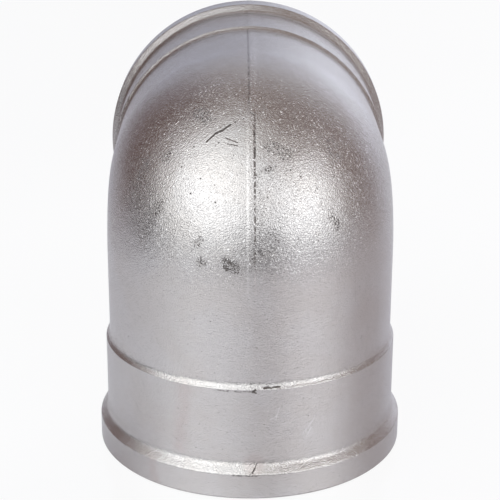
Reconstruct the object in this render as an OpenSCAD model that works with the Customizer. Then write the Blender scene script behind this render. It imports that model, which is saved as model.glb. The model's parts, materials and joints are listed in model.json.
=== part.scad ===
// A 90 degree pipe elbow, forged in one piece, with a female thread in each end.
// The origin is the centre of the lower end's face, with +Z up the lower leg.
// The upper leg leaves towards +Y. The two ends are alike.

/* [Thread] */
// Major diameter of the pipe thread in each socket
thread_major_d = 59.614; // [57:0.001:62]
// Height of the thread's form, from its crests to its roots
thread_height = 1.479; // [0.8:0.001:1.6]
// Depth from the end face to the bottom of the threaded bore
thread_depth = 21; // [16:0.5:22]
// How far the chamfer at the mouth opens past the thread's major radius
mouth_clearance = 0.4; // [0.1:0.1:1]

/* [Tube] */
// Length from each end face to the crossing of the two centre lines
centre_to_face = 54.3; // [53:0.1:70]
// Wall between the waterway and the outside of the tube
tube_wall = 3.5; // [2.8:0.1:5]
// Radius of the tube's centre line round the heel
heel_bend_r = 10; // [6:0.5:16]
// Radius of the fillet in the crotch, between the two legs
crotch_fillet_r = 10; // [6:0.5:14]

/* [Collar] */
// Wall between the thread's major diameter and the outside of the collar
collar_wall = 2; // [1.8:0.1:4]
// How far the collar stands out from the tube, all round
collar_step = 0.8; // [0.4:0.1:1.2]
// Length of the collar's cylinder, from the bead's hollow to its own slope
collar_l = 16.5; // [14:0.1:18]
// Length of the slope that runs from the collar down to the tube
collar_slope_l = 1.2; // [0.5:0.1:2.5]

/* [Bead] */
// How far the bead round each end stands out from the collar
bead_step = 1.7; // [0.8:0.1:3]
// Length of the bead, from the end face to the start of its hollow shoulder
bead_l = 5.6; // [3:0.1:7]
// Radius of the hollow shoulder between the bead and the collar
bead_hollow_r = 1.8; // [0.8:0.1:3]
// Width of the bevel on the bead's outer edge, at the end face
bead_bevel = 0.4; // [0.2:0.1:0.8]

/* [Hidden] */
$fn = 96;
major_r = thread_major_d / 2;
minor_r = major_r - thread_height;
mouth_r = major_r + mouth_clearance;
collar_r = major_r + collar_wall;
tube_r = collar_r - collar_step;
bead_r = collar_r + bead_step;
waterway_r = tube_r - tube_wall;
// Heights above the end face at which the collar starts, slopes and ends
collar_start = bead_l + bead_hollow_r;
collar_end = collar_start + collar_l;
slope_end = collar_end + collar_slope_l;
// Height at which the straight tube gives way to the heel's bend
heel_start = centre_to_face - heel_bend_r;
// The crotch's fillet is a bend too, of a bar that lies just under the tube's skin,
// so that it breaks out of the tube along a clean edge
crotch_sink = 0.02;
crotch_bar_r = tube_r - crotch_sink;
crotch_bend_r = crotch_bar_r + crotch_fillet_r;
// How far each cutter runs past the face that it opens
cut_over = 1;
nickel = [0.72, 0.70, 0.68];

// What is drawn for the lower end, and its mirror image for the upper end
module both_ends() {
    children();
    translate([0, centre_to_face, centre_to_face])
        rotate([90, 0, 0])
            mirror([0, 1, 0])
                children();
}

// A round bar bent through a quarter turn, from the lower leg's line to the upper leg's.
// Where the bend is tighter than the bar, the bar stops at the axis that it turns about.
module quarter_bend(bar_r, bend_r) {
    translate([0, bend_r, centre_to_face - bend_r])
        rotate([90, 0, -90])
            rotate_extrude(angle = 90)
                intersection() {
                    translate([bend_r, 0])
                        circle(r = bar_r);
                    translate([0, -bar_r])
                        square([bend_r + bar_r, 2 * bar_r]);
                }
}

// Half the section of one leg's outside: the bead with its bevel and hollow shoulder,
// the collar with its slope, and the tube up to the heel
module leg_section() {
    difference() {
        polygon([
            [0, 0],
            [bead_r - bead_bevel, 0],
            [bead_r, bead_bevel],
            [bead_r, collar_start],
            [0, collar_start]
        ]);
        translate([collar_r + bead_hollow_r, collar_start])
            circle(r = bead_hollow_r);
    }
    polygon([
        [0, collar_start],
        [collar_r, collar_start],
        [collar_r, collar_end],
        [tube_r, slope_end],
        [tube_r, heel_start],
        [0, heel_start]
    ]);
}

// The socket: the mouth's chamfer, the bore at the thread's minor diameter, and the
// cone at its bottom, which leads into the waterway
module socket_cut() {
    chamfer_l = mouth_r - minor_r;
    bottom_l = minor_r - waterway_r;
    translate([0, 0, -cut_over])
        cylinder(r1 = mouth_r + cut_over, r2 = minor_r, h = chamfer_l + cut_over);
    cylinder(r = minor_r, h = thread_depth);
    translate([0, 0, thread_depth])
        cylinder(r1 = minor_r, r2 = waterway_r, h = bottom_l);
    cylinder(r = waterway_r, h = heel_start);
}

module elbow() {
    color(nickel)
        difference() {
            union() {
                both_ends()
                    rotate_extrude()
                        leg_section();
                quarter_bend(tube_r, heel_bend_r);
                quarter_bend(crotch_bar_r, crotch_bend_r);
            }
            both_ends()
                socket_cut();
            quarter_bend(waterway_r, heel_bend_r);
        }
}

elbow();
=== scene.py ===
import json
import math

import bmesh
import bpy
import numpy as np
from mathutils import Matrix, Vector


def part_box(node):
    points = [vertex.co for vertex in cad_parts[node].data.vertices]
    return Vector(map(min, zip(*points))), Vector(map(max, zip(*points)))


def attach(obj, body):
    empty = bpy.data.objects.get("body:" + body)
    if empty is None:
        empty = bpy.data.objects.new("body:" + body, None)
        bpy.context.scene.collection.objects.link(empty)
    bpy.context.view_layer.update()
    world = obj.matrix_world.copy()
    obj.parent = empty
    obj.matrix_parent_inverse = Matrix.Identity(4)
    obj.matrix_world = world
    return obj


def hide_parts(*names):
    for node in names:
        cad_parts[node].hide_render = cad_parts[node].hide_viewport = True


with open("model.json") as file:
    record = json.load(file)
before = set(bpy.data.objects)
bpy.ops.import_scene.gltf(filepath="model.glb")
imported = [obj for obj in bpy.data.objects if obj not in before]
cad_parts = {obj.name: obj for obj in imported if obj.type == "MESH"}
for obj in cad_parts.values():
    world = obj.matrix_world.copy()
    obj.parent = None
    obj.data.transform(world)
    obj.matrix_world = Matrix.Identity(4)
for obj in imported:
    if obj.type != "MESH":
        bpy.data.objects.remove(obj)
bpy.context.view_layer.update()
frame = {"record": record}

# The forging
# One hot forging of brass, with a leg for each pipe and a round heel between them. It is struck in
# two dies that part along the plane of the legs, trimmed, bored and threaded, then shot-blasted and
# nickel plated. It is a single piece, so this section is the whole object.

mm = 0.001
low_corner, high_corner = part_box("elbow")
mounts = {mount["name"]: mount for mount in frame["record"]["mounts"]}

centre_z = mounts["upper_thread"]["pos_m"][2]
end_y = high_corner.y
bead_r = high_corner.x
collar_r = bead_r - 1.7 * mm
tube_r = collar_r - 0.8 * mm
heel_bend_r = 10 * mm
crotch_fillet_r = 10 * mm
crotch_bend_r = tube_r + crotch_fillet_r

bead_l = 5.6 * mm
bead_bevel = 0.4 * mm
collar_start = bead_l + 1.8 * mm
collar_end = collar_start + 16.6 * mm
slope_end = collar_end + 0.87 * mm
inside_rounding = 2.0 * mm

thread_pitch = 25.4 / 11 * mm
thread_height = 0.640327 * thread_pitch
thread_rounding = 0.137329 * thread_pitch
flank_turn = math.radians(90 - 27.5)
minor_r = mounts["lower_thread"]["dims"]["r_mm"] * mm
major_r = minor_r + thread_height
mouth_r = major_r + 0.4 * mm
thread_first = 0.25 * mm
thread_fade = 17.0 * mm
thread_last = 19.4 * mm
bore_end = 21 * mm
tube_wall = 3.5 * mm
waterway_r = tube_r - tube_wall
bore_cone_end = bore_end + minor_r - waterway_r


def smooth_step(value, start, end):
    t = np.clip((value - start) / (end - start), 0, 1)
    return t * t * (3 - 2 * t)


def round_corners(corners):
    """A section line of (height, radius) points; each corner is (height, radius, rounding)."""
    line = []
    for index, (height, radius, rounding) in enumerate(corners):
        here = np.array([height, radius])
        if rounding == 0 or index in (0, len(corners) - 1):
            line.append(here)
            continue
        before = np.array(corners[index - 1][:2]) - here
        after = np.array(corners[index + 1][:2]) - here
        before = before / np.linalg.norm(before)
        after = after / np.linalg.norm(after)
        opening = math.acos(float(np.clip(before @ after, -1, 1)))
        reach = rounding / math.tan(opening / 2)
        middle = here + (before + after) / np.linalg.norm(before + after) * rounding / math.sin(opening / 2)
        first, last = here + before * reach - middle, here + after * reach - middle
        sweep = math.pi - opening
        steps = 4 if rounding < mm else 7
        for step in range(steps + 1):
            t = step / steps
            arm = (math.sin((1 - t) * sweep) * first + math.sin(t * sweep) * last) / math.sin(sweep)
            line.append(middle + arm)
    return line


def fill_line(line, spacing, hold=0.22 * mm):
    """Adds points on the long stretches of a section line, and one close to each of their ends."""
    filled = [line[0]]
    for start, end in zip(line, line[1:]):
        length = float(np.linalg.norm(end - start))
        if length > 4 * hold:
            count = max(1, round((length - 2 * hold) / spacing))
            places = [hold + (length - 2 * hold) * k / count for k in range(count + 1)]
            filled += [start + (end - start) * place / length for place in places]
        filled.append(end)
    return np.array(filled)


# Columns run up the leg. They are closer together at the flanks, where the bend's radius changes
# fast, and beside the parting line.
column_angles = set(range(0, 360, 2))
column_angles |= {centre + step for centre in (0, 180) for step in range(-9, 10)}
column_angles = {angle % 360 for angle in column_angles}
seam_offsets = [0.12, 0.3, 0.45, 0.6, 0.75, 0.95, 1.2, 1.5]
for offset in seam_offsets:
    lean = round(math.degrees(offset * mm / tube_r), 4)
    column_angles |= {90 - lean, 90 + lean, 270 - lean, 270 + lean}
alpha = np.radians(np.array(sorted(column_angles)))
columns = len(alpha)
side_x = tube_r * np.cos(alpha)
side_s = tube_r * np.sin(alpha)

# The bend's radius is the heel's on the heel side and the crotch's on the crotch side
flank_half = 4 * mm
bend_r = heel_bend_r + (crotch_bend_r - heel_bend_r) * smooth_step(side_s, -flank_half, flank_half)
mitre_z = centre_z - bend_r + (bend_r - side_s) / math.sqrt(2)


def skin_y(height, place=side_s, bend=bend_r):
    """How far along Y the tube's skin lies at each column, at one height or one for each column."""
    rise = np.maximum(height - (centre_z - bend), 0)
    arm = np.maximum(bend - place, 1e-9)
    return np.where(rise > 0, bend - np.sqrt(np.maximum(arm**2 - rise**2, 0)), place)


outer_line = fill_line(round_corners([
    (0, bead_r - bead_bevel, 0),
    (bead_bevel, bead_r, 0.25 * mm),
    (bead_l, bead_r, 0.6 * mm),
    (collar_start, collar_r, inside_rounding),
    (collar_end, collar_r, 0.25 * mm),
    (slope_end, tube_r, inside_rounding),
    (slope_end + mm, tube_r, 0),
]), 1.3 * mm)
collar_top = outer_line[-1][0]

# In the crotch the collars run into the fillet, so the rows there close up under the mitre plane
keep_z = 9 * mm
squeeze_from = 16 * mm
full_share = (collar_top - keep_z) / (np.interp(squeeze_from, np.sort(side_s[side_s > 0]),
    mitre_z[side_s > 0][np.argsort(side_s[side_s > 0])]) - keep_z)
top_share = full_share + (0.6 - full_share) * np.clip((side_s - squeeze_from) / (tube_r - squeeze_from), 0, 1)
squeezed_top = np.where(side_s > squeeze_from, keep_z + (mitre_z - keep_z) * top_share, collar_top)
blend_width = 0.7 * mm * smooth_step(side_s, 2 * mm, 10 * mm)

outside = []
for height, radius in outer_line:
    lift = np.full(columns, height)
    if height > keep_z:
        lift = keep_z + (height - keep_z) * (squeezed_top - keep_z) / (collar_top - keep_z)
    wall = np.where(side_s > squeeze_from, np.interp(lift, outer_line[:, 0], outer_line[:, 1]), radius)
    skin = skin_y(lift)
    reach = np.hypot(side_x, skin)
    turn = np.arctan2(skin, side_x)
    soft = np.maximum(blend_width, 1e-9)
    overlap = np.maximum(soft - np.abs(reach - wall), 0)
    out = np.maximum(reach, wall) + overlap**2 / (4 * soft)
    outside.append(np.stack([out * np.cos(turn), out * np.sin(turn), lift], axis=1))
bend_rows = 44
for row in range(1, bend_rows + 1):
    lift = squeezed_top + (mitre_z - squeezed_top) * row / bend_rows
    outside.append(np.stack([side_x, skin_y(lift), lift], axis=1))

# The thread's rows follow its helix: crest, flank, root, flank, ten rows to a turn
turn_rows = []
for bend in np.linspace(-flank_turn, flank_turn, 5):
    turn_rows.append((thread_rounding * math.sin(bend), thread_rounding * (1 - math.cos(bend))))
for bend in np.linspace(-flank_turn, flank_turn, 5):
    turn_rows.append((thread_pitch / 2 + thread_rounding * math.sin(bend),
                      thread_height - thread_rounding * (1 - math.cos(bend))))
thread_start = -2 * thread_pitch
thread_turns = math.ceil((thread_last - thread_start) / thread_pitch) + 1
share_round = alpha / (2 * math.pi)
threads = []
for turn in range(thread_turns):
    for rise, depth in turn_rows:
        height = thread_start + thread_pitch * (turn + share_round) + rise
        fade = 1 - smooth_step(height, thread_fade, thread_last)
        fade *= smooth_step(height, thread_first - 0.3 * mm, thread_first + 0.4 * mm)
        height = np.clip(height, 0, thread_last)
        radius = np.maximum(minor_r + depth * fade, mouth_r - height)
        threads.append(np.stack([radius * np.cos(alpha), radius * np.sin(alpha), height], axis=1))

# Past the thread: plain bore, the cone at its bottom, and the waterway up to the mitre plane,
# where the two bores meet in a crisp edge at the crotch
water_s = waterway_r * np.sin(alpha)
water_x = waterway_r * np.cos(alpha)
water_bend = np.maximum(heel_bend_r, water_s + 0.4 * mm)
water_top = centre_z - water_bend + (water_bend - water_s) / math.sqrt(2)
bore = []
for height, radius in ((bore_end - 0.2 * mm, minor_r), (bore_end, minor_r), (bore_cone_end, waterway_r)):
    bore.append(np.stack([radius * np.cos(alpha), radius * np.sin(alpha), np.full(columns, height)], axis=1))
water_rows = 24
for row in range(1, water_rows + 1):
    lift = bore_cone_end + (water_top - bore_cone_end) * (row / water_rows)
    bore.append(np.stack([water_x, skin_y(lift, water_s, water_bend), lift], axis=1))

face_radii = [bead_r - bead_bevel - 0.2 * mm, mouth_r + 0.2 * mm, mouth_r]

points = []
quads = []
skins = []
blasted_skin, turned_skin, waterway_skin = 0, 1, 2


def add_sleeve(rows, skin, helical=False):
    """Adds a sleeve of quads between rows of points; a helical one climbs a turn where it closes."""
    first = len(points)
    for row in rows:
        points.extend(row)
    for row in range(len(rows) - 1):
        for column in range(columns):
            after, climb = column + 1, 0
            if after == columns:
                after, climb = 0, len(turn_rows) if helical else 0
            if row + 1 + climb >= len(rows):
                continue
            corners = [(row, column), (row + climb, after), (row + 1 + climb, after), (row + 1, column)]
            quads.append([first + r * columns + c for r, c in corners])
            skins.append(skin)


def ring(radius, height):
    return np.stack([radius * np.cos(alpha), radius * np.sin(alpha), np.full(columns, height)], axis=1)


add_sleeve(outside, blasted_skin)
outside_count = len(points)
add_sleeve([outside[0]] + [ring(radius, 0.0) for radius in face_radii], turned_skin)
add_sleeve(threads, turned_skin, helical=True)
add_sleeve([ring(minor_r, thread_last)] + bore[:3], turned_skin)
add_sleeve(bore[2:], waterway_skin)
lower = np.array(points)
upper = np.stack([-lower[:, 0], centre_z - lower[:, 2], centre_z - lower[:, 1]], axis=1)
outer_half = np.arange(len(lower)) < outside_count
tool_travel = (np.hypot(lower[:, 0], lower[:, 1]) + lower[:, 2]) / mm

mesh = bpy.data.meshes.new("elbow_forging")
mesh.from_pydata(
    np.concatenate([lower, upper]).tolist(), [],
    quads + [[corner + len(lower) for corner in quad] for quad in quads])
mesh.polygons.foreach_set("material_index", skins + skins)
mesh.attributes.new("outer_skin", "INT", "POINT").data.foreach_set("value", np.tile(outer_half, 2).astype(int))
mesh.attributes.new("tool_travel", "FLOAT", "POINT").data.foreach_set("value", np.tile(tool_travel, 2))

# The two dies part along a low strip in the plane of the legs. Over the heel the strip steps
# aside by half a millimetre; down the lower leg it has been rubbed nearly flat.
seam_height = 0.1 * mm
seam_reach = 1.7 * mm
heel_end_z = centre_z - heel_bend_r
heel_run = (tube_r + heel_bend_r) * math.pi / 2
seam_jog = 82.6 * mm


def seam_lift(point):
    """How far the strip stands out at a point of the skin near the plane of the legs."""
    along_heel = point.z > heel_end_z and point.y < heel_bend_r
    if point.z <= heel_end_z and point.y < 0:
        travel = point.z
    elif along_heel:
        turn = math.atan2(point.z - heel_end_z, heel_bend_r - point.y)
        travel = heel_end_z + (tube_r + heel_bend_r) * turn
    elif point.z > centre_z:
        travel = heel_end_z + heel_run + point.y - heel_bend_r
    else:
        travel = 60 * mm
    share = 0.15 + 0.85 * smooth_step(travel, 41 * mm, 50 * mm)
    if point.y > collar_on_top:
        share = 0.4
    aside = smooth_step(travel, seam_jog - 0.8 * mm, seam_jog + 0.8 * mm)
    wander = 0.04 * mm * (math.sin(travel / mm * 0.9) + math.sin(travel / mm * 2.3 + 1))
    left = (-0.82 + 0.42 * aside) * mm + wander
    right = (0.57 + 0.53 * aside) * mm - wander
    strip = smooth_step(point.x, left - (0.2 - 0.12 * aside) * mm, left + 0.16 * mm)
    strip *= 1 - smooth_step(point.x, right - (0.1 + 0.6 * aside) * mm, right + (0.14 + 0.4 * aside) * mm)
    return seam_height * share * strip


collar_on_top = centre_z - slope_end
shaping = bmesh.new()
shaping.from_mesh(mesh)
bmesh.ops.remove_doubles(shaping, verts=shaping.verts, dist=0.002 * mm)
bmesh.ops.dissolve_degenerate(shaping, edges=shaping.edges, dist=0.001 * mm)
bmesh.ops.recalc_face_normals(shaping, faces=shaping.faces)
shaping.normal_update()
outer_layer = shaping.verts.layers.int["outer_skin"]
for vert in shaping.verts:
    on_face = vert.co.z < 0.01 * mm or vert.co.y > end_y - 0.01 * mm
    if vert[outer_layer] and abs(vert.co.x) < seam_reach and not on_face:
        vert.co += vert.normal * seam_lift(vert.co)
shaping.to_mesh(mesh)
shaping.free()
mesh.shade_smooth()
mesh.set_sharp_from_angle(angle=math.radians(38))
forging = bpy.data.objects.new("elbow_forging", mesh)
bpy.context.scene.collection.objects.link(forging)


def start_material(name):
    """A bare material with a metal shader; its nodes and links are the ones in hand from here."""
    global nodes, links
    material = bpy.data.materials.new(name)
    material.use_nodes = True
    nodes, links = material.node_tree.nodes, material.node_tree.links
    metal = nodes["Principled BSDF"]
    metal.inputs["Metallic"].default_value = 1
    return material, metal


def wire(socket, value):
    """Gives a socket a number, a colour or another node's output."""
    if isinstance(value, (int, float, tuple)):
        socket.default_value = value
    elif value is not None:
        links.new(value, socket)


def number(operation, first, second=None, third=None):
    node = nodes.new("ShaderNodeMath")
    node.operation = operation
    for socket, value in zip(node.inputs, (first, second, third)):
        wire(socket, value)
    return node.outputs[0]


def vector(operation, first, second=None, result="Vector"):
    node = nodes.new("ShaderNodeVectorMath")
    node.operation = operation
    wire(node.inputs[0], first)
    if operation == "SCALE":
        wire(node.inputs["Scale"], second)
    else:
        wire(node.inputs[1], second)
    return node.outputs[result]


def ramp(value, start, end, low=0.0, high=1.0):
    """A smooth change from low to high as the value goes from start to end."""
    node = nodes.new("ShaderNodeMapRange")
    node.interpolation_type = "SMOOTHSTEP"
    wire(node.inputs["Value"], value)
    node.inputs["From Min"].default_value = start
    node.inputs["From Max"].default_value = end
    node.inputs["To Min"].default_value = low
    node.inputs["To Max"].default_value = high
    return node.outputs["Result"]


def noise(place, scale, detail=2.0, roughness=0.5, distortion=0.0):
    node = nodes.new("ShaderNodeTexNoise")
    wire(node.inputs["Vector"], place)
    node.inputs["Scale"].default_value = scale
    node.inputs["Detail"].default_value = detail
    node.inputs["Roughness"].default_value = roughness
    node.inputs["Distortion"].default_value = distortion
    return node.outputs["Fac"]


def laid(place, turn, stretch):
    """The same place measured in a frame that is turned and stretched, for marks that lie one way."""
    lay = nodes.new("ShaderNodeMapping")
    lay.vector_type = "TEXTURE"
    wire(lay.inputs["Vector"], place)
    lay.inputs["Rotation"].default_value = turn
    lay.inputs["Scale"].default_value = (stretch, 1, 1)
    return lay.outputs[0]


def blend_colour(share, first, second):
    node = nodes.new("ShaderNodeMix")
    node.data_type = "RGBA"
    wire(node.inputs["Factor"], share)
    wire(node.inputs["A"], first)
    wire(node.inputs["B"], second)
    return node.outputs["Result"]


def emboss(metal, height_in_mm):
    bump = nodes.new("ShaderNodeBump")
    bump.inputs["Distance"].default_value = mm
    wire(bump.inputs["Height"], height_in_mm)
    links.new(bump.outputs["Normal"], metal.inputs["Normal"])


def place_in_mm():
    return vector("SCALE", nodes.new("ShaderNodeTexCoord").outputs["Object"], 1000.0)


# Blasted nickel: steel shot leaves a fine grain with stray chips, under a thin satin plate
nickel, metal = start_material("blasted_nickel")
place = place_in_mm()
parts = nodes.new("ShaderNodeSeparateXYZ")
wire(parts.inputs[0], place)

grain = noise(place, 3.4, 1.0, 0.5, 0.6)
heel_share = number("MULTIPLY", ramp(parts.outputs["Z"], 45.0, 52.0), ramp(parts.outputs["Y"], -8.0, 2.0, 1.0, 0.0))
# Stray chips: a small bump, and a lighter colour further down that is a painted glint
glint_flecks = 0.0
for turn in ((0.2, 0.4, 0.3), (-0.2, 1.4, -0.3), (0.3, 2.5, 0.1)):
    glint_flecks = number("MAXIMUM", noise(laid(place, turn, 2.2), 2.6, 0.0), glint_flecks)
glint_flecks = number("MULTIPLY", ramp(glint_flecks, 0.75, 0.84), heel_share)
swell = noise(place, 0.22, 2.0, 0.5)

height = number("MULTIPLY", grain, 0.1)
height = number("MULTIPLY_ADD", glint_flecks, 0.03, height)
height = number("MULTIPLY_ADD", swell, 0.10, height)


def along(start, end, half_width, softness):
    """Nearness to a straight stroke on the skin: one along it, nothing beyond its width."""
    run = Vector(end) - Vector(start)
    away = vector("SUBTRACT", place, tuple(start))
    share = number("MULTIPLY", vector("DOT_PRODUCT", away, tuple(run), "Value"), 1 / run.length_squared)
    share = number("MINIMUM", number("MAXIMUM", share, 0.0), 1.0)
    gap = vector("DISTANCE", away, vector("SCALE", tuple(run), share), "Value")
    return ramp(gap, half_width, half_width + softness, 1.0, 0.0)


def spot(centre, radius, softness):
    return ramp(vector("DISTANCE", place, tuple(centre), "Value"), radius, radius + softness, 1.0, 0.0)


# One curved scratch over the left light, short nicks beside it, and hairlines from the trimming
cuts = None
for start, end, half_width, softness in (
    ((-9.0, -18.1, 72.3), (-7.2, -17.3, 73.8), 0.06, 0.2),
    ((-7.2, -17.3, 73.8), (-5.8, -17.05, 74.35), 0.13, 0.2),
    ((-5.8, -17.05, 74.35), (-4.2, -16.3, 75.3), 0.08, 0.22),
    ((-5.2, -18.5, 73.2), (-2.8, -19.6, 72.5), 0.0, 0.2),
    ((-4.8, -19.5, 72.2), (-2.8, -20.1, 72.0), 0.0, 0.2),
    ((1.1, -31.95, 7.4), (0.7, -32.5, 6.6), 0.03, 0.16),
    ((0.7, -32.5, 6.6), (0.2, -33.1, 5.9), 0.1, 0.2),
    ((2.6, -31.4, 24.3), (3.4, -31.3, 24.4), 0.17, 0.16),
    ((3.4, -31.3, 24.38), (4.1, -31.2, 24.15), 0.08, 0.2),
    ((4.2, -31.1, 24.3), (5.9, -31.0, 24.5), 0.09, 0.16),
    ((0.8, -31.75, 24.0), (0.2, -31.8, 23.65), 0.15, 0.16),
    ((0.2, -31.8, 23.65), (0.9, -31.8, 23.35), 0.08, 0.2),
    ((-0.2, -14.4, 77.3), (0.4, -14.8, 77.0), 0.02, 0.2),
    ((-10.2, -28.9, 50.3), (-10.0, -28.5, 51.8), 0.02, 0.18),
):
    stroke = along(start, end, half_width, softness)
    cuts = stroke if cuts is None else number("MAXIMUM", cuts, stroke)
hairlines = None
for start, end in (
    ((21.1, -22.6, 46.0), (21.3, -22.5, 39.6)),
    ((-25.4, -17.8, 32.4), (-24.4, -19.2, 28.2)),
    ((13.0, -7.9, 78.0), (18.2, -4.2, 76.4)),
):
    stroke = along(start, end, 0.0, 0.15)
    hairlines = stroke if hairlines is None else number("MAXIMUM", hairlines, stroke)
rubbed = None
for start, end in (
    ((5.7, -31.28, 19.9), (4.9, -31.42, 17.3)),
    ((5.0, -31.4, 17.8), (3.9, -31.56, 17.3)),
    ((13.0, -29.02, 16.5), (10.5, -30.02, 13.1)),
    ((12.4, -29.28, 14.6), (11.2, -29.76, 12.2)),
):
    stroke = along(start, end, 0.0, 0.2)
    rubbed = stroke if rubbed is None else number("MAXIMUM", rubbed, stroke)

# Pits where scale was pressed in, one by one and in clusters
pits = None
for centre in (
    (-11.6, -17.9, 71.2), (-6.6, -19.0, 72.3), (-10.2, -22.8, 66.0), (-12.2, -23.6, 63.1), (-7.2, -26.0, 62.0),
    (-7.3, -14.5, 76.1), (-1.6, -15.5, 76.3), (-3.2, -16.0, 75.8), (6.3, -21.4, 69.7), (7.7, -22.5, 67.7),
    (9.7, -22.7, 66.4), (3.3, -23.4, 67.8), (0.5, -30.3, 51.6), (16.1, -23.7, 58.3), (-14.0, -19.6, 67.5),
):
    dot = spot(centre, 0.04, 0.2)
    pits = dot if pits is None else number("MAXIMUM", pits, dot)
clusters = None
for start, end, radius, strength in (
    ((-10.4, -12.0, 76.5), (-9.2, -13.8, 75.9), 0.8, 0.15), ((-17.4, -16.3, 68.4), (-16.9, -16.0, 69.0), 0.5, 0.16),
    ((-21.4, -13.7, 66.4), (-24.1, -14.4, 60.9), 0.8, 0.13), ((-24.1, -14.4, 60.9), (-23.4, -18.5, 54.7), 0.9, 0.13),
    ((-18.7, -21.1, 59.8), (-21.9, -20.9, 52.3), 0.7, 0.15), ((6.9, -20.5, 70.5), (3.6, -20.2, 71.7), 0.7, 0.14),
    ((16.2, -15.3, 70.5), (17.0, -16.2, 68.9), 0.9, 0.1), ((4.1, -23.0, 68.1), (2.5, -23.5, 67.8), 0.4, 0.14),
    ((16.1, -23.7, 58.1), (17.2, -23.7, 56.4), 0.5, 0.15), ((-5.0, -30.1, 50.9), (-3.3, -30.4, 49.7), 0.6, 0.2),
    ((-5.3, -30.0, 50.1), (-4.9, -30.1, 49.6), 0.25, 0.3), ((-4.3, -30.2, 50.9), (-3.6, -30.4, 50.4), 0.2, 0.27),
    ((-10.2, -27.9, 54.7), (-11.0, -27.9, 53.9), 0.4, 0.18), ((-10.4, -28.7, 50.4), (-9.6, -28.9, 50.4), 0.4, 0.19),
    ((1.2, -30.5, 50.8), (4.0, -29.2, 55.0), 1.0, 0.09), ((1.0, -24.5, 67.0), (1.6, -29.5, 54.0), 0.5, 0.07),
):
    patch_of_pits = number("MULTIPLY", along(start, end, radius, radius * 2.2), strength)
    clusters = patch_of_pits if clusters is None else number("MAXIMUM", clusters, patch_of_pits)
crowd = number("MULTIPLY_ADD", heel_share, 0.03, clusters)
specks = ramp(number("ADD", noise(place, 3.8, 1.0, 0.6, 1.0), crowd), 0.72, 0.79)
pits = number("MAXIMUM", pits, specks)

# Painted shade, with some grime, in the broken groove along the strip's right edge, over the heel only
groove_gap = number("ABSOLUTE", number("SUBTRACT", parts.outputs["X"], 0.6))
groove_and_shade = ramp(groove_gap, 0.12, 0.36, 1.0, 0.0)
groove_and_shade = number("MULTIPLY", groove_and_shade, ramp(noise(place, 1.1, 2.0, 0.7), 0.36, 0.56))
groove_and_shade = number("MULTIPLY", groove_and_shade, ramp(parts.outputs["Z"], 48.0, 54.0))
groove_and_shade = number("MULTIPLY", groove_and_shade, ramp(parts.outputs["Y"], -16.0, -14.0, 1.0, 0.0))

# On top a fine line of painted shade runs along the strip's left edge
on_top = ramp(parts.outputs["Z"], 77.0, 78.5)
top_line_shade = ramp(number("ABSOLUTE", number("ADD", parts.outputs["X"], 0.5)), 0.04, 0.34, 1.0, 0.0)
top_line_shade = number("MULTIPLY", top_line_shade, ramp(noise(place, 0.9, 3.0, 0.7), 0.35, 0.62, 0.08, 0.5))
top_line_shade = number("MULTIPLY", top_line_shade, on_top)
top_line_shade = number("MULTIPLY", top_line_shade, ramp(parts.outputs["Y"], 28.0, 31.0, 1.0, 0.3))
# A painted sheen along the top of the strip
strip_painted_sheen = ramp(number("ABSOLUTE", number("SUBTRACT", parts.outputs["X"], 0.5)), 0.3, 0.8, 1.0, 0.0)
strip_painted_sheen = number("MULTIPLY", strip_painted_sheen, ramp(noise(place, 1.8, 2.0, 0.7), 0.45, 0.65))
strip_painted_sheen = number("MULTIPLY", number("MULTIPLY", strip_painted_sheen, on_top), ramp(parts.outputs["Y"], 0.0, 20.0, 1.0, 0.2))

# Painted shadow under the collar's edge and the bead's, in broken lengths, cast by burrs where the lathe tool let go
burr_shadow = 0.0
for edge_z, middle_x, half_x in ((23.66, -3.8, 4.6), (5.4, -1.0, 4.0)):
    edge_gap = number("ABSOLUTE", number("SUBTRACT", parts.outputs["Z"], edge_z))
    side_gap = number("ABSOLUTE", number("SUBTRACT", parts.outputs["X"], middle_x))
    edge = number("MULTIPLY", ramp(edge_gap, 0.06, 0.28, 1.0, 0.0), ramp(side_gap, half_x - 1.5, half_x, 1.0, 0.0))
    burr_shadow = number("MAXIMUM", edge, burr_shadow)
burr_shadow = number("MULTIPLY", burr_shadow, ramp(parts.outputs["Y"], -10.0, -5.0, 1.0, 0.0))
burr_shadow = number("MULTIPLY", burr_shadow, ramp(noise(place, 1.6, 2.0, 0.7), 0.42, 0.56))

height = number("MULTIPLY_ADD", cuts, -0.06, height)
height = number("MULTIPLY_ADD", hairlines, -0.012, height)
height = number("MULTIPLY_ADD", pits, -0.06, height)
height = number("MULTIPLY_ADD", groove_and_shade, -0.05, height)
emboss(metal, height)

tone = blend_colour(ramp(noise(place, 0.09, 3.0, 0.6), 0.35, 0.65), (0.64, 0.615, 0.59, 1), (0.62, 0.588, 0.555, 1))
# The chips' lighter colour is a painted glint, brighter than the nickel itself
tone = blend_colour(glint_flecks, tone, (0.9, 0.88, 0.85, 1))
tone = blend_colour(number("MULTIPLY", hairlines, 0.35), tone, (0.3, 0.28, 0.26, 1))
rubbed = number("MULTIPLY", rubbed, ramp(noise(place, 2.2, 1.0), 0.4, 0.6, 0.1, 0.45))
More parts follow.
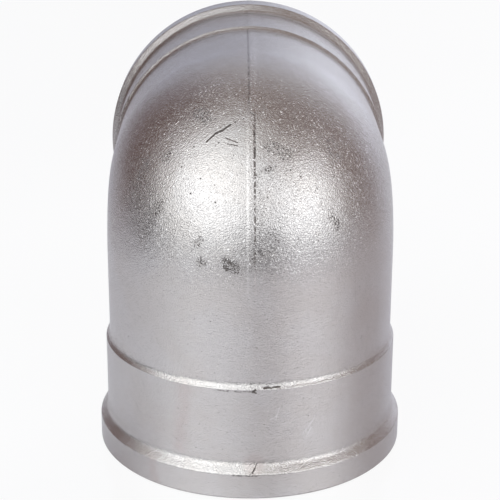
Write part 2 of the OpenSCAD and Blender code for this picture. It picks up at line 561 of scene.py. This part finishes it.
# Rubbed strokes are real wear; the strip's share of this light colour is a painted sheen
tone = blend_colour(number("MAXIMUM", rubbed, number("MULTIPLY", strip_painted_sheen, 0.4)), tone, (0.95, 0.93, 0.92, 1))
tone = blend_colour(number("MULTIPLY", spot((0.5, -32.2, 7.4), 1.4, 1.6), 0.17), tone, (0.5, 0.36, 0.32, 1))
streaks = number("MAXIMUM", along((-13.6, -28.7, 22.6), (-15.0, -28.0, 9.6), 0.2, 2.4),
                 along((-20.9, -26.2, 5.0), (-20.2, -26.7, 1.0), 0.1, 2.0))
streaks = number("MULTIPLY", streaks, ramp(noise(place, 0.5, 2.0, 0.6), 0.3, 0.6, 0.4, 0.9))
tone = blend_colour(streaks, tone, (0.6, 0.545, 0.515, 1))
smudge = number("MAXIMUM", along((-4.2, -30.2, 50.4), (3.1, -30.3, 50.8), 0.2, 3.8),
                along((-0.8, -29.9, 53.0), (3.4, -29.2, 54.6), 0.2, 4.2))
smudge = number("MULTIPLY", smudge, ramp(noise(place, 1.6, 3.0, 0.7), 0.3, 0.65, 0.14, 0.28))
tone = blend_colour(smudge, tone, (0.26, 0.25, 0.245, 1))
# Scratches and pits are dark marks on the metal; the groove, the line on top and the burrs add painted shade, all in
# one dark colour
dark_marks_and_shade = number("MAXIMUM", number("MAXIMUM", cuts, pits), number("MAXIMUM", groove_and_shade, top_line_shade))
dark_marks_and_shade = number("MAXIMUM", dark_marks_and_shade, number("MULTIPLY", burr_shadow, 0.8))
tone = blend_colour(number("MULTIPLY", dark_marks_and_shade, 0.92), tone, (0.11, 0.095, 0.085, 1))
fine_tone = ramp(noise(place, 3.4, 1.0), 0.3, 0.7, -1.0, 1.0)
tone = vector("SCALE", tone, number("MULTIPLY_ADD", fine_tone, 0.02, 1.0))
wire(metal.inputs["Base Color"], tone)
wire(metal.inputs["Roughness"], ramp(noise(place, 0.5, 2.0, 0.6), 0.3, 0.7, 0.22, 0.27))

# Turned nickel: the end faces, mouths and threads are cut on the lathe before they are plated
turned, metal = start_material("turned_nickel")
travel = nodes.new("ShaderNodeAttribute")
travel.attribute_name = "tool_travel"
tool_marks = nodes.new("ShaderNodeTexNoise")
tool_marks.noise_dimensions = "1D"
wire(tool_marks.inputs["W"], travel.outputs["Fac"])
tool_marks.inputs["Scale"].default_value = 5.0
tool_marks.inputs["Detail"].default_value = 2.0
place = place_in_mm()
height = number("MULTIPLY_ADD", tool_marks.outputs["Fac"], 0.008, number("MULTIPLY", noise(place, 1.6, 2.0, 0.6), 0.008))
emboss(metal, height)
metal.inputs["Base Color"].default_value = (0.66, 0.635, 0.60, 1)
wire(metal.inputs["Roughness"], ramp(noise(place, 0.3, 2.0, 0.5), 0.3, 0.7, 0.2, 0.3))

# The waterway keeps its forged skin, under a thinner and duller plate
waterway, metal = start_material("waterway_nickel")
place = place_in_mm()
height = number("MULTIPLY", noise(place, 1.2, 4.0, 0.6), 0.09)
emboss(metal, height)
wire(metal.inputs["Base Color"], blend_colour(
    ramp(noise(place, 0.12, 3.0, 0.6), 0.35, 0.7), (0.56, 0.52, 0.47, 1), (0.48, 0.43, 0.36, 1)))
metal.inputs["Roughness"].default_value = 0.4

for finish in (nickel, turned, waterway):
    mesh.materials.append(finish)

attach(forging, "root")
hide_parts("elbow")

# The studio
# The elbow stands on a wide sheet of white paper. Two large softboxes light it from the camera's
# side, and a cloth tent round them all gives the dimmer light of the room, with a dark curtain to
# the left and to the right. None of it is part of the elbow.

floor_half = 4.0
floor_mesh = bpy.data.meshes.new("studio_floor")
floor_mesh.from_pydata(
    [(-floor_half, -floor_half, 0), (floor_half, -floor_half, 0), (floor_half, floor_half, 0),
     (-floor_half, floor_half, 0)], [], [(0, 1, 2, 3)])
studio_floor = bpy.data.objects.new("studio_floor", floor_mesh)
bpy.context.scene.collection.objects.link(studio_floor)


def seen_share(nodes, links, camera_share, mirrored_share):
    """How much of the plain white a ray sees: a share for the camera, and one for metal and glass."""
    path = nodes.new("ShaderNodeLightPath")
    mirrored = nodes.new("ShaderNodeMath")
    mirrored.operation = "MAXIMUM"
    links.new(path.outputs["Is Glossy Ray"], mirrored.inputs[0])
    links.new(path.outputs["Is Transmission Ray"], mirrored.inputs[1])
    part = nodes.new("ShaderNodeMath")
    part.operation = "MULTIPLY"
    part.inputs[1].default_value = mirrored_share
    links.new(mirrored.outputs[0], part.inputs[0])
    share = nodes.new("ShaderNodeMath")
    share.operation = "MULTIPLY_ADD"
    share.inputs[1].default_value = camera_share
    links.new(path.outputs["Is Camera Ray"], share.inputs[0])
    links.new(part.outputs[0], share.inputs[2])
    return share.outputs[0]


paper = bpy.data.materials.new("white_paper")
paper.use_nodes = True
nodes, links = paper.node_tree.nodes, paper.node_tree.links
nodes.clear()
paper_output = nodes.new("ShaderNodeOutputMaterial")
paper_mix = nodes.new("ShaderNodeMixShader")
paper_place = nodes.new("ShaderNodeSeparateXYZ")
wire(paper_place.inputs[0], nodes.new("ShaderNodeTexCoord").outputs["Object"])
paper_matt = nodes.new("ShaderNodeBsdfDiffuse")
# Painted shade: the paper's matt colour turns darker and pinker to the right of the elbow
paper_painted_shade = blend_colour(
    ramp(paper_place.outputs["X"], -0.02, 0.08), (0.69, 0.69, 0.76, 1), (0.69, 0.66, 0.71, 1))
# Painted light: a brighter band of matt colour, with less shine, to the left of the elbow where the paper lies in its
# shadow
paper_painted_light = number("SUBTRACT", paper_place.outputs["Y"], paper_place.outputs["X"])
paper_painted_light = number("MULTIPLY", ramp(paper_painted_light, 0.0, 0.06), ramp(paper_painted_light, 0.18, 0.34, 1.0, 0.0))
wire(paper_matt.inputs["Color"], blend_colour(paper_painted_light, paper_painted_shade, (0.92, 0.94, 1, 1)))
paper_shine = nodes.new("ShaderNodeBsdfAnisotropic")
paper_shine.inputs["Color"].default_value = (1, 1, 1, 1)
paper_shine.inputs["Roughness"].default_value = 0.12
paper_coated = nodes.new("ShaderNodeMixShader")
wire(paper_coated.inputs["Fac"], number("MULTIPLY_ADD", paper_painted_light, -0.24, 0.34))
paper_white = nodes.new("ShaderNodeEmission")
paper_white.inputs["Strength"].default_value = 1
links.new(paper_matt.outputs[0], paper_coated.inputs[1])
links.new(paper_shine.outputs[0], paper_coated.inputs[2])
links.new(seen_share(nodes, links, 0.92, 0.12), paper_mix.inputs["Fac"])
links.new(paper_coated.outputs[0], paper_mix.inputs[1])
links.new(paper_white.outputs[0], paper_mix.inputs[2])
links.new(paper_mix.outputs[0], paper_output.inputs["Surface"])
floor_mesh.materials.append(paper)

world = bpy.data.worlds.new("studio")
world.use_nodes = True
nodes, links = world.node_tree.nodes, world.node_tree.links
nodes.clear()
world_output = nodes.new("ShaderNodeOutputWorld")
world_mix = nodes.new("ShaderNodeMixShader")
world_dim = nodes.new("ShaderNodeBackground")
world_dim.inputs["Color"].default_value = (0.6, 0.6, 0.62, 1)
world_white = nodes.new("ShaderNodeBackground")
world_white.inputs["Strength"].default_value = 1
links.new(seen_share(nodes, links, 1, 1), world_mix.inputs["Fac"])
links.new(world_dim.outputs[0], world_mix.inputs[1])
links.new(world_white.outputs[0], world_mix.inputs[2])
links.new(world_mix.outputs[0], world_output.inputs["Surface"])
bpy.context.scene.world = world

# The tent: a dome of cloth, whose glow changes softly from patch to patch
tent_r = 3.0
tent_mesh = bpy.data.meshes.new("studio_tent")
shaping = bmesh.new()
bmesh.ops.create_uvsphere(shaping, u_segments=64, v_segments=32, radius=tent_r)
bmesh.ops.bisect_plane(shaping, geom=shaping.verts[:] + shaping.edges[:] + shaping.faces[:],
    plane_co=(0, 0, -0.02), plane_no=(0, 0, 1), clear_inner=True)
bmesh.ops.reverse_faces(shaping, faces=shaping.faces)
shaping.to_mesh(tent_mesh)
shaping.free()
tent = bpy.data.objects.new("studio_tent", tent_mesh)
bpy.context.scene.collection.objects.link(tent)
tent.visible_camera = False

cloth = bpy.data.materials.new("tent_cloth")
cloth.use_nodes = True
cloth.cycles.emission_sampling = "NONE"
nodes, links = cloth.node_tree.nodes, cloth.node_tree.links
nodes.clear()


def soft_edge(distance, half, softness):
    """One inside the half width, nothing outside it, and a smooth edge between."""
    return ramp(distance, half - 2.6 * softness, half + 2.6 * softness, 1.0, 0.0)


place_in_tent = nodes.new("ShaderNodeTexCoord")
direction = nodes.new("ShaderNodeVectorMath")
direction.operation = "NORMALIZE"
links.new(place_in_tent.outputs["Object"], direction.inputs[0])
parts = nodes.new("ShaderNodeSeparateXYZ")
links.new(direction.outputs[0], parts.inputs[0])
turned_y = number("MULTIPLY", parts.outputs["Y"], -1.0)
azimuth = number("MULTIPLY", number("ARCTAN2", parts.outputs["X"], turned_y), 180 / math.pi)
elevation = number("MULTIPLY", number("ARCSINE", parts.outputs["Z"]), 180 / math.pi)


def patch(under, colour, turn, half_turn, rise, half_rise, softness):
    """A soft patch of another glow: where it is round the tent and above the floor, in degrees."""
    aside = number("ABSOLUTE", number("WRAP", number("SUBTRACT", azimuth, turn), 180.0, -180.0))
    above = number("ABSOLUTE", number("SUBTRACT", elevation, rise))
    share = number("MULTIPLY", soft_edge(aside, half_turn, softness), soft_edge(above, half_rise, softness))
    mix = nodes.new("ShaderNodeMix")
    mix.data_type = "RGBA"
    links.new(share, mix.inputs["Factor"])
    if isinstance(under, tuple):
        mix.inputs["A"].default_value = under
    else:
        links.new(under, mix.inputs["A"])
    mix.inputs["B"].default_value = (*colour, 1)
    return mix.outputs["Result"]


glow = patch((0.629, 0.621, 0.653, 1), (0.25, 0.19, 0.175), 0, 400, 103.9, 46.4, 4.4)
glow = patch(glow, (1.16, 1.22, 1.28), -31, 59.4, 73.1, 14.7, 4.6)
glow = patch(glow, (0.5, 0.515, 0.61), 184.6, 30.4, 13.9, 28.7, 5.7)
glow = patch(glow, (1.09, 1.135, 1.305), 145.9, 26.1, 2.9, 25.2, 4.7)
glow = patch(glow, (0.155, 0.1, 0.095), -123.2, 24.7, 23.2, 41.3, 4.7)
glow = patch(glow, (0.25, 0.19, 0.18), 108.6, 23.8, 25.7, 45.2, 4.9)
glow = patch(glow, (0.34, 0.335, 0.35), 9.5, 9.0, 15.0, 16.0, 3.0)
glow = patch(glow, (0.02, 0.02, 0.02), -14.6, 94.8, 3.0, 10.3, 1.7)
cloth_glow = nodes.new("ShaderNodeEmission")
cloth_output = nodes.new("ShaderNodeOutputMaterial")
links.new(glow, cloth_glow.inputs["Color"])
links.new(cloth_glow.outputs[0], cloth_output.inputs["Surface"])
tent_mesh.materials.append(cloth)


def softbox(name, turn, rise, half_turn, half_rise, glow_colour, brightness):
    """A rectangular softbox that faces the elbow; its size is given by the angles it fills."""
    distance = 1.3
    lamp = bpy.data.lights.new(name, "AREA")
    lamp.shape = "RECTANGLE"
    lamp.size = 2 * distance * math.tan(math.radians(half_turn))
    lamp.size_y = 2 * distance * math.tan(math.radians(half_rise))
    lamp.color = glow_colour
    lamp.energy = brightness * math.pi * lamp.size * lamp.size_y
    holder = bpy.data.objects.new(name, lamp)
    away = Vector((
        math.sin(math.radians(turn)) * math.cos(math.radians(rise)),
        -math.cos(math.radians(turn)) * math.cos(math.radians(rise)),
        math.sin(math.radians(rise)),
    ))
    holder.location = Vector((0, 0, 50 * mm)) + away * distance
    holder.rotation_euler = away.to_track_quat("Z", "Y").to_euler()
    holder.visible_camera = False
    bpy.context.scene.collection.objects.link(holder)


softbox("softbox_left", -38.3, 30.9, 35.7, 29.1, (0.91, 0.962, 1.0), 0.98)
softbox("softbox_right", 48.7, 23.3, 24.6, 21.1, (0.907, 0.95, 1.0), 1.13)
softbox("bulb_left", -40.0, 33.0, 17.0, 18.0, (0.95, 0.975, 1.0), 0.5)
softbox("bulb_right", 49.0, 25.0, 14.0, 13.0, (0.95, 0.975, 1.0), 0.62)

camera_pitch = math.radians(19.67)
camera_yaw = math.radians(0.662)
camera_roll = math.radians(0.191)
camera_distance = 319.9 * mm
camera_target = Vector((-0.05 * mm, 0, 42.76 * mm))
forward = Vector((
    math.sin(camera_yaw) * math.cos(camera_pitch),
    math.cos(camera_yaw) * math.cos(camera_pitch),
    -math.sin(camera_pitch),
))
level_right = Vector((math.cos(camera_yaw), -math.sin(camera_yaw), 0))
level_up = level_right.cross(forward)
right = level_right * math.cos(camera_roll) + level_up * math.sin(camera_roll)
up = level_up * math.cos(camera_roll) - level_right * math.sin(camera_roll)
place = camera_target - forward * camera_distance
lens = bpy.data.cameras.new("photo_camera")
lens.sensor_width = 36
lens.lens = 105.47
camera = bpy.data.objects.new("photo_camera", lens)
camera.matrix_world = Matrix((
    (right.x, up.x, -forward.x, place.x),
    (right.y, up.y, -forward.y, place.y),
    (right.z, up.z, -forward.z, place.z),
    (0, 0, 0, 1),
))
bpy.context.scene.collection.objects.link(camera)
bpy.context.scene.camera = camera
bpy.context.scene.view_settings.view_transform = "Standard"
